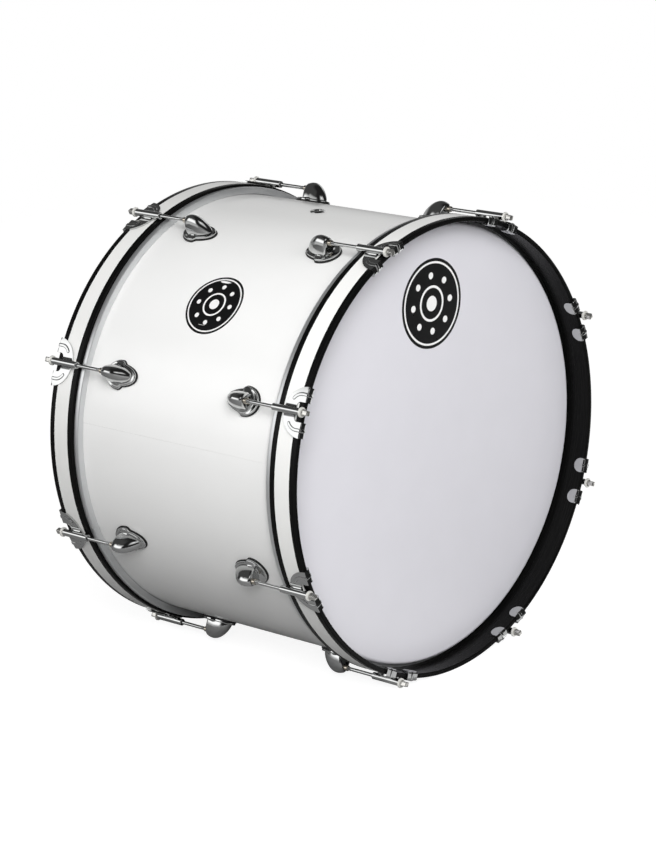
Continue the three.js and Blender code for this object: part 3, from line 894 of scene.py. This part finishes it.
def foldedPlace(along, height):
    # Where a point of the flat claw comes to lie once its ears are folded down and in. The second
    # fold is fuller outside than inside, so its radius and the flats beside it change with the height.
    slope = math.tan(math.radians(clawSizes["leanAngle"]))
    leanFrom = hoopHigh.z - clawSizes["leanFrom"]
    edge, outer = clawSizes["edgeFold"], clawSizes["tabFold"]
    top, end, under = clawFaces()
    inner = min(outer + height * (outer - clawSizes["tabInside"]) / clawSizes["plate"],
                top - edge - under + height)
    firstEnd, secondStart, tabStart, _ = clawLengths()
    if along < -edge:
        return end + along, top + height
    if along < firstEnd:
        turn, power = (along + edge) / edge, clawSizes["edgePower"]
        drawn = edge * (math.sin(turn) ** power + math.cos(turn) ** power) ** (-1 / power) + height
        return end - edge + drawn * math.sin(turn), top - edge + drawn * math.cos(turn)
    foldStart = under - height + inner
    if along < secondStart:
        share = (along - firstEnd) / (secondStart - firstEnd)
        out = (top - edge) * (1 - share) + foldStart * share
        return end + height - slope * max(0.0, leanFrom - out), out
    end -= slope * max(0.0, leanFrom - foldStart)
    foldEnd = end + height - inner
    if along < tabStart:
        turn = (along - secondStart) / outer
        return foldEnd + inner * math.cos(turn), foldStart - inner * math.sin(turn)
    catchUp = min(1.0, (along - tabStart) / outer)
    return foldEnd * (1 - catchUp) + (end - outer) * catchUp - (along - tabStart), under - height


def foldClaw(shape, relief=False):
    # Folds a flat shape, and wraps it round the hoop
    for vert in shape.verts:
        along, across, height = vert.co
        if relief and height > -clawSizes["plate"] / 2:
            height += rimRelief(along, across)
        place, out = foldedPlace(along, height)
        turn = across / hoopHigh.z
        vert.co = Vector((place, out * math.sin(turn), out * math.cos(turn)))
    bmesh.ops.recalc_face_normals(shape, faces=shape.faces)


def flatClaw():
    # The claw's face before folding: a fan spun round the middle of its edge, and two ears with
    # round tips
    sizes = clawSizes
    earMiddle = sizes["fan"] - sizes["earWidth"] / 2
    columns = sorted({round(earMiddle + side * offset, 3)
                      for offset in sizes["earColumns"] for side in (-1, 1)})
    firstEnd, secondStart, _, tipCentre = clawLengths()
    rows = sizes["foldRows"] + [firstEnd]
    rows += [firstEnd + (secondStart - firstEnd) * n / sizes["flatRows"]
             for n in range(1, sizes["flatRows"] + 1)]
    rows += [secondStart + (tipCentre - secondStart) * n / sizes["tabRows"]
             for n in range(1, sizes["tabRows"] + 1)]
    sheet = bmesh.new()
    line = [sheet.verts.new((0, -out, 0)) for out in sizes["fanColumns"] + columns]
    edges = [sheet.edges.new(pair) for pair in zip(line, line[1:])]
    bmesh.ops.spin(sheet, geom=line + edges, cent=(0, 0, 0), axis=(0, 0, 1), angle=-math.pi,
                   steps=sizes["sectors"], use_duplicate=False)
    bmesh.ops.remove_doubles(sheet, verts=sheet.verts, dist=pointGap)
    for side in (-1, 1):
        strip = [e for e in sheet.edges if all(
            abs(v.co.x) < pointGap and side * v.co.y > columns[0] - 10 * pointGap for v in e.verts)]
        for row in rows:
            made = bmesh.ops.extrude_edge_only(sheet, edges=strip)["geom"]
            for vert in vertsOf(made):
                vert.co.x = row
            strip = [e for e in edgesOf(made) if all(abs(v.co.x - row) < pointGap for v in e.verts)]
        spinHalf(sheet, strip, Vector((tipCentre, side * earMiddle, 0)), Vector((0, 1, 0)), -math.pi,
                 sizes["tipSteps"])
    bmesh.ops.remove_doubles(sheet, verts=sheet.verts, dist=10 * pointGap)
    openWindow(sheet, columns[0])
    return sheet


def openWindow(sheet, halfWidth):
    # Opens the plate between the ears, with the two inner corners rounded
    sizes = clawSizes
    foot = -(sizes["windowDepth"] + sizes["clear"] + sizes["plate"])
    corner = sizes["windowCorner"]
    planes = [((foot, 0, 0), (1, 0, 0)), ((0, halfWidth, 0), (0, 1, 0)),
              ((0, -halfWidth, 0), (0, 1, 0))]
    for lean in map(math.radians, sizes["windowCuts"]):
        for side in (-1, 1):
            centre = Vector((foot + corner, side * (halfWidth - corner), 0))
            normal = Vector((-math.cos(lean), side * math.sin(lean), 0))
            planes.append((centre + normal * corner, normal))
    deep, wide = sizes["windowReach"]
    for place, normal in planes:
        near = [f for f in sheet.faces if deep * foot < f.calc_center_median().x < 0
                and abs(f.calc_center_median().y) < wide * halfWidth]
        cutAcross(sheet, place, normal, near)
    inside = []
    for face in sheet.faces:
        middle = face.calc_center_median()
        outCorner = Vector((foot + corner - middle.x, abs(middle.y) - halfWidth + corner))
        beyond = outCorner.x > 0 and outCorner.y > 0 and outCorner.length > corner * 0.99
        if foot < middle.x < 0 and abs(middle.y) < halfWidth and not beyond:
            inside.append(face)
    bmesh.ops.delete(sheet, geom=inside, context="FACES")
    bmesh.ops.remove_doubles(sheet, verts=sheet.verts, dist=sizes["windowWeld"])


def clawWeb():
    # Flares from the tube down to the plate on both sides, hollow like a fillet
    sizes = webSizes
    rise = rodLine - clawFaces()[0]
    span = sizes["half"] - clawSizes["tubeRadius"] + sizes["intoTube"]
    turns = [math.pi / 2 * step / sizes["steps"] for step in range(sizes["steps"] + 1)]
    half = [(sizes["half"] - span * math.sin(t), rise * (1 - math.cos(t))) for t in turns]
    outline = [(sizes["half"], -sizes["sink"])] + half
    outline += [(-across, height) for across, height in reversed(outline)]
    start = sizes["setback"] - clawSizes["fan"]
    stop = -(clawSizes["windowDepth"] + clawSizes["clear"] + clawSizes["plate"])
    web = bmesh.new()
    face = web.faces.new([web.verts.new((start, across, height)) for across, height in outline])
    made = bmesh.ops.extrude_face_region(web, geom=[face])["geom"]
    bmesh.ops.translate(web, vec=(stop - start, 0, 0), verts=vertsOf(made))
    rims = [e for e in web.edges if all(v.co.z > -sizes["sink"] / 2 for v in e.verts)
            and abs(e.verts[0].co.x - e.verts[1].co.x) < pointGap]
    softenCorners(web, sizes["round"], 2, rims)
    return web


def clawRib(side):
    # A band along the middle of an ear: straight over the end, then bent towards the tube, with
    # round ends
    sizes = ribSizes
    middle = clawSizes["fan"] - clawSizes["earWidth"] / 2
    start = clawLengths()[2] + sizes["onTab"]
    centre = Vector((-sizes["straight"], middle - sizes["bend"], 0))
    rib = bmesh.new()
    outline = ribOutline + [(-across, height) for across, height in ribOutline[-2:0:-1]]
    line = [rib.verts.new((start, middle + across, height)) for across, height in outline]
    edges = [rib.edges.new(pair) for pair in zip(line, line[1:] + line[:1])]
    spinHalf(rib, edges, Vector((start, middle, 0)), Vector((0, 1, 0)), -math.pi, sizes["endSteps"])
    for row in range(1, sizes["rows"] + 1):
        made = bmesh.ops.extrude_edge_only(rib, edges=edges)["geom"]
        place = start + (centre.x - start) * row / sizes["rows"]
        for vert in vertsOf(made):
            vert.co.x = place
        edges = [e for e in edgesOf(made) if all(abs(v.co.x - place) < pointGap for v in e.verts)]
    sweep = math.radians(sizes["bendAngle"])
    last = bmesh.ops.spin(rib, geom=withCorners(edges), cent=centre, axis=(0, 0, 1), angle=sweep,
                          steps=sizes["bendSteps"], use_duplicate=False)["geom_last"]
    outward = Vector((-math.sin(sweep), math.cos(sweep), 0))
    spinHalf(rib, edgesOf(last), centre + outward * sizes["bend"], outward, math.pi,
             sizes["endSteps"])
    bmesh.ops.remove_doubles(rib, verts=rib.verts, dist=10 * pointGap)
    if side < 0:
        bmesh.ops.scale(rib, vec=(1, -1, 1), verts=rib.verts)
    return rib


def spinHalf(shape, edges, centre, outward, angle, steps):
    # Rounds the end of a band or an ear by spinning the outer half of its edges
    half = [e for e in edges if all((v.co - centre).dot(outward) > -pointGap for v in e.verts)]
    bmesh.ops.spin(shape, geom=withCorners(half), cent=centre, axis=(0, 0, 1), angle=angle,
                   steps=steps, use_duplicate=False)


def buildClaws():
    sizes = clawSizes
    claw = flatClaw()
    made = bmesh.ops.extrude_face_region(claw, geom=claw.faces[:])["geom"]
    bmesh.ops.translate(claw, vec=(0, 0, -sizes["plate"]), verts=vertsOf(made))
    bmesh.ops.recalc_face_normals(claw, faces=claw.faces)
    softenCorners(claw, sizes["round"], 2)
    foldClaw(claw, relief=True)
    for added in (clawWeb(), clawRib(1), clawRib(-1)):
        foldClaw(added)
        claw = combined(claw, added, "UNION")
    start, stop, radius = sizes["tubeStart"], sizes["tubeEnd"], sizes["tubeRadius"]
    edge, bore, past = sizes["tubeEdge"], sizes["tubeBore"], sizes["drillPast"]
    tube = spinRound([(0, start), (radius - edge, start), (radius, start + edge),
                      (radius, stop - edge), (radius - edge, stop), (0, stop)],
                     sizes["tubeSteps"], rodLine)
    drill = spinRound([(0, start - past), (bore, start - past), (bore, stop + past),
                       (0, stop + past)], sizes["drillSteps"], rodLine)
    claw = combined(combined(claw, tube, "UNION"), drill, "DIFFERENCE")
    placeAll(claw, "Claw", "polishedChrome", "{}_claw_{}", "{}_claw_{}")


buildClaws()
print("claws made")


# Printed roundels: a plain ringed design on the shell and on the front head
roundelSizes = {
    "shellRadius": 42.0,
    "shellAngle": 134.5,
    "headRadius": 57.0,
    "headCentre": (7.0, 182.0),
    "clear": 0.02,
    "layer": 0.08,
    "steps": 96,
    "dots": 8,
    "dotShare": 0.075,   # shares of the roundel's radius
    "dotRingShare": 0.62,
    "cuts": (-0.6, -0.3, 0.001, 0.3, 0.6),   # so that a full disc can follow the shell
}
roundelRings = [         # outer and inner share of the radius, ink, layers
    (1.0, 0.0, "blackInk", 1),
    (0.93, 0.885, "whiteInk", 2),
    (0.40, 0.345, "whiteInk", 2),
    (0.17, 0.0, "whiteInk", 2),
]


def printedDisc(outer, inner, layers):
    disc = bmesh.new()
    steps = roundelSizes["steps"]
    bmesh.ops.create_circle(disc, cap_ends=False, segments=steps, radius=outer)
    if inner:
        bmesh.ops.create_circle(disc, cap_ends=False, segments=steps, radius=inner)
        bmesh.ops.bridge_loops(disc, edges=disc.edges[:])
    else:
        bmesh.ops.holes_fill(disc, edges=disc.edges[:], sides=0)
        for share in roundelSizes["cuts"]:
            cutAcross(disc, (share * outer, 0, 0), (1, 0, 0))
            cutAcross(disc, (0, share * outer, 0), (0, 1, 0))
    made = bmesh.ops.extrude_face_region(disc, geom=disc.faces[:])["geom"]
    bmesh.ops.translate(disc, vec=(0, 0, layers * roundelSizes["layer"]), verts=vertsOf(made))
    bmesh.ops.recalc_face_normals(disc, faces=disc.faces)
    return disc


def onShell(shape):
    # Lays a flat print round the shell, up to its angle
    base = wrapHigh.z + roundelSizes["clear"]
    turn = math.radians(roundelSizes["shellAngle"] - 90)
    for vert in shape.verts:
        angle = turn - vert.co.y / base
        out = base + vert.co.z
        vert.co = Vector((vert.co.x, -out * math.sin(angle), out * math.cos(angle)))


def onHead(shape):
    across, up = roundelSizes["headCentre"]
    base = filmHigh.x + roundelSizes["clear"]
    for vert in shape.verts:
        vert.co = Vector((base + vert.co.z, across + vert.co.x, up + vert.co.y))


def buildRoundel(name, radius, lay):
    sizes = roundelSizes
    for number, (outer, inner, ink, layers) in enumerate(roundelRings, 1):
        disc = printedDisc(outer * radius, inner * radius, layers)
        lay(disc)
        finishPiece(disc, f"{name}Ring{number}", ink, "drum")
    for number in range(sizes["dots"]):
        turn = 2 * math.pi * number / sizes["dots"]
        dot = printedDisc(sizes["dotShare"] * radius, 0, 2)
        reach = sizes["dotRingShare"] * radius
        bmesh.ops.translate(dot, vec=(reach * math.cos(turn), reach * math.sin(turn), 0),
                            verts=dot.verts)
        lay(dot)
        finishPiece(dot, f"{name}Dot{number + 1}", "whiteInk", "drum")


buildRoundel("shellRoundel", roundelSizes["shellRadius"], onShell)
buildRoundel("headRoundel", roundelSizes["headRadius"], onHead)
print("roundels made")


# Floor, studio and lamps
stageSizes = {
    "floorHalf": 2.3,
    "floorGap": 0.0005,  # metres below the drum
    "floorGlow": 0.9,    # what the camera sees of the floor before any light falls on it
    "floorColour": "#9A9A9A",
}
cardSizes = {"layer": 1.0, "uneven": 0.15, "grain": 200}     # gap and grain in millimetres
floorCards = {           # cards that only metal sees: middle, half sizes, turn in degrees, value
    "paleSheet": ((0.25, 1.0), (0.6, 0.88), 0, 1.5),
    "frontSheet": ((0.35, 0.05), (0.11, 0.2), 0, 0.75),
    "blackCloth": ((1.265, 1.054), (1.3, 0.315), 48, 0.02),
}


def floorSurface():
    # Matt paper: the camera sees it white, everything else sees what light falls on it
    material, tree, _ = newMaterial("paleFloor")
    lit = addNode(tree, "ShaderNodeBsdfDiffuse", {"Color": hexColour(stageSizes["floorColour"])}, {})
    seen = addNode(tree, "ShaderNodeLightPath", {}, {})
    strength = addNode(tree, "ShaderNodeMath", {"operation": "MULTIPLY", 1: stageSizes["floorGlow"]},
                       {0: seen.outputs["Is Camera Ray"]})
    glow = addNode(tree, "ShaderNodeEmission", {}, {"Strength": strength.outputs[0]})
    both = addNode(tree, "ShaderNodeAddShader", {}, {0: lit.outputs[0], 1: glow.outputs[0]})
    addNode(tree, "ShaderNodeOutputMaterial", {}, {"Surface": both.outputs[0]})
    return material


def cardSurface(name, value):
    # Card or cloth at a plain level, a little uneven
    material, tree, place = newMaterial(name)
    noise = addNode(tree, "ShaderNodeTexNoise", {"Scale": 1 / (cardSizes["grain"] * mm)},
                    {"Vector": place})
    low, high = (value * (1 + side * cardSizes["uneven"]) for side in (-1, 1))
    level = addNode(tree, "ShaderNodeMapRange", {"To Min": low, "To Max": high},
                    {"Value": noise.outputs["Fac"]})
    glow = addNode(tree, "ShaderNodeEmission", {}, {"Strength": level.outputs[0]})
    addNode(tree, "ShaderNodeOutputMaterial", {}, {"Surface": glow.outputs[0]})
    return material


def layFlat(name, halves, matrix, material):
    shape = bmesh.new()
    bmesh.ops.create_grid(shape, x_segments=1, y_segments=1, size=1.0,
                          matrix=matrix @ Matrix.Diagonal((*halves, 1, 1)))
    mesh = bpy.data.meshes.new(name)
    shape.to_mesh(mesh)
    shape.free()
    mesh.materials.append(material)
    laid = bpy.data.objects.new(name, mesh)
    bpy.context.scene.collection.objects.link(laid)
    return laid


def buildFloor():
    low, half = cadBox[0].z - stageSizes["floorGap"], stageSizes["floorHalf"]
    layFlat("studioFloor", (half, half), Matrix.Translation((0, 0, low)), floorSurface())
    for layer, (name, (middle, halves, turn, value)) in enumerate(floorCards.items(), 1):
        place = Matrix.Translation((*middle, low + layer * cardSizes["layer"] * mm))
        place = place @ Matrix.Rotation(math.radians(turn), 4, "Z")
        card = layFlat(name, halves, place, cardSurface(name, value))
        card.visible_camera = card.visible_diffuse = card.visible_shadow = False


studioPanels = [         # in degrees: azimuth from +X towards +Y, elevation, half sizes, soft edge; value
    (-121, 16, 26, 12, 6, 1.75),     # the window
    (-112, 29, 20, 7, 5, 0.7),
    (-120, -5, 32, 9, 8, 0.68),      # its glow on the far floor
    (-33, 42, 30, 12, 7, 0.8),
    (-44, 45, 9, 7, 4, 1.35),
    (100, 30, 22, 12, 8, 0.6),
    (103, 25, 12, 8, 4, 1.3),
    (135, 8, 55, 12, 9, 0.5),
    (-172, 42, 72, 22, 10, 0.055),
    (97, -18, 30, 16, 7, 1.6),       # the pale backdrop, met at a grazing angle
    (-132, -46, 142, 46, 5, 0.32),   # round the floor's edge
]
studioLight = {"plain": 0.21, "dark": 0.022}


def panelMask(tree, angle, middle, half, soft):
    apart = addNode(tree, "ShaderNodeMath", {"operation": "SUBTRACT", 1: math.radians(middle)},
                    {0: angle})
    wrapped = addNode(tree, "ShaderNodeMath", {"operation": "WRAP", 1: math.pi, 2: -math.pi},
                      {0: apart.outputs[0]})
    away = addNode(tree, "ShaderNodeMath", {"operation": "ABSOLUTE"}, {0: wrapped.outputs[0]})
    return addNode(tree, "ShaderNodeMapRange", {
        "interpolation_type": "SMOOTHSTEP", "From Min": math.radians(half + soft),
        "From Max": math.radians(half - soft)}, {"Value": away.outputs[0]}).outputs[0]


def buildWorld():
    # The camera sees white; polished surfaces see a dark studio with a few bright panels
    world = bpy.data.worlds.new("studio")
    bpy.context.scene.world = world
    world.use_nodes = True
    tree = world.node_tree
    tree.nodes.clear()
    direction = addNode(tree, "ShaderNodeTexCoord", {}, {}).outputs["Generated"]
    split = addNode(tree, "ShaderNodeSeparateXYZ", {}, {0: direction})
    azimuth = addNode(tree, "ShaderNodeMath", {"operation": "ARCTAN2"},
                      {0: split.outputs["Y"], 1: split.outputs["X"]}).outputs[0]
    elevation = addNode(tree, "ShaderNodeMath", {"operation": "ARCSINE"},
                        {0: split.outputs["Z"]}).outputs[0]
    brightest = None
    for middle, height, halfWide, halfHigh, soft, value in studioPanels:
        wide = panelMask(tree, azimuth, middle, halfWide, soft)
        high = panelMask(tree, elevation, height, halfHigh, soft)
        panel = addNode(tree, "ShaderNodeMath", {"operation": "MULTIPLY"}, {0: wide, 1: high})
        light = addNode(tree, "ShaderNodeMath", {"operation": "MULTIPLY", 1: value},
                        {0: panel.outputs[0]})
        if brightest:
            light = addNode(tree, "ShaderNodeMath", {"operation": "MAXIMUM"},
                            {0: brightest.outputs[0], 1: light.outputs[0]})
        brightest = light
    studio = addNode(tree, "ShaderNodeMath", {"operation": "ADD", 1: studioLight["dark"]},
                     {0: brightest.outputs[0]})
    seen = addNode(tree, "ShaderNodeLightPath", {}, {})
    glossy = addNode(tree, "ShaderNodeMath", {"operation": "MAXIMUM"},
                     {0: seen.outputs["Is Glossy Ray"], 1: seen.outputs["Is Transmission Ray"]})
    reflected = addNode(tree, "ShaderNodeMix", {2: studioLight["plain"]},
                        {0: glossy.outputs[0], 3: studio.outputs[0]})
    strength = addNode(tree, "ShaderNodeMix", {3: 1.0},
                       {0: seen.outputs["Is Camera Ray"], 2: reflected.outputs[0]})
    sky = addNode(tree, "ShaderNodeBackground", {"Color": (1, 1, 1, 1)},
                  {"Strength": strength.outputs[0]})
    addNode(tree, "ShaderNodeOutputWorld", {}, {"Surface": sky.outputs[0]})


lamps = {                # direction from the drum's middle, distance and size in metres, power
    "keyLamp": ((0.567, -0.631, 0.530), 3.2, 1.6, 95.0),
    "frontLamp": ((0.90, -0.10, 0.42), 3.2, 1.6, 27.0),
}


def buildLamps():
    for name, (direction, distance, size, power) in lamps.items():
        data = bpy.data.lights.new(name, "AREA")
        data.shape = "SQUARE"
        data.size = size
        data.energy = power
        lamp = bpy.data.objects.new(name, data)
        bpy.context.scene.collection.objects.link(lamp)
        away = Vector(direction).normalized()
        lamp.location = away * distance
        lamp.rotation_mode = "QUATERNION"
        lamp.rotation_quaternion = away.to_track_quat("Z", "Y")
        lamp.visible_glossy = False
        lamp.visible_camera = False


buildFloor()
buildWorld()
buildLamps()
bpy.context.scene.view_settings.view_transform = "Standard"
print("stage and lamps set")
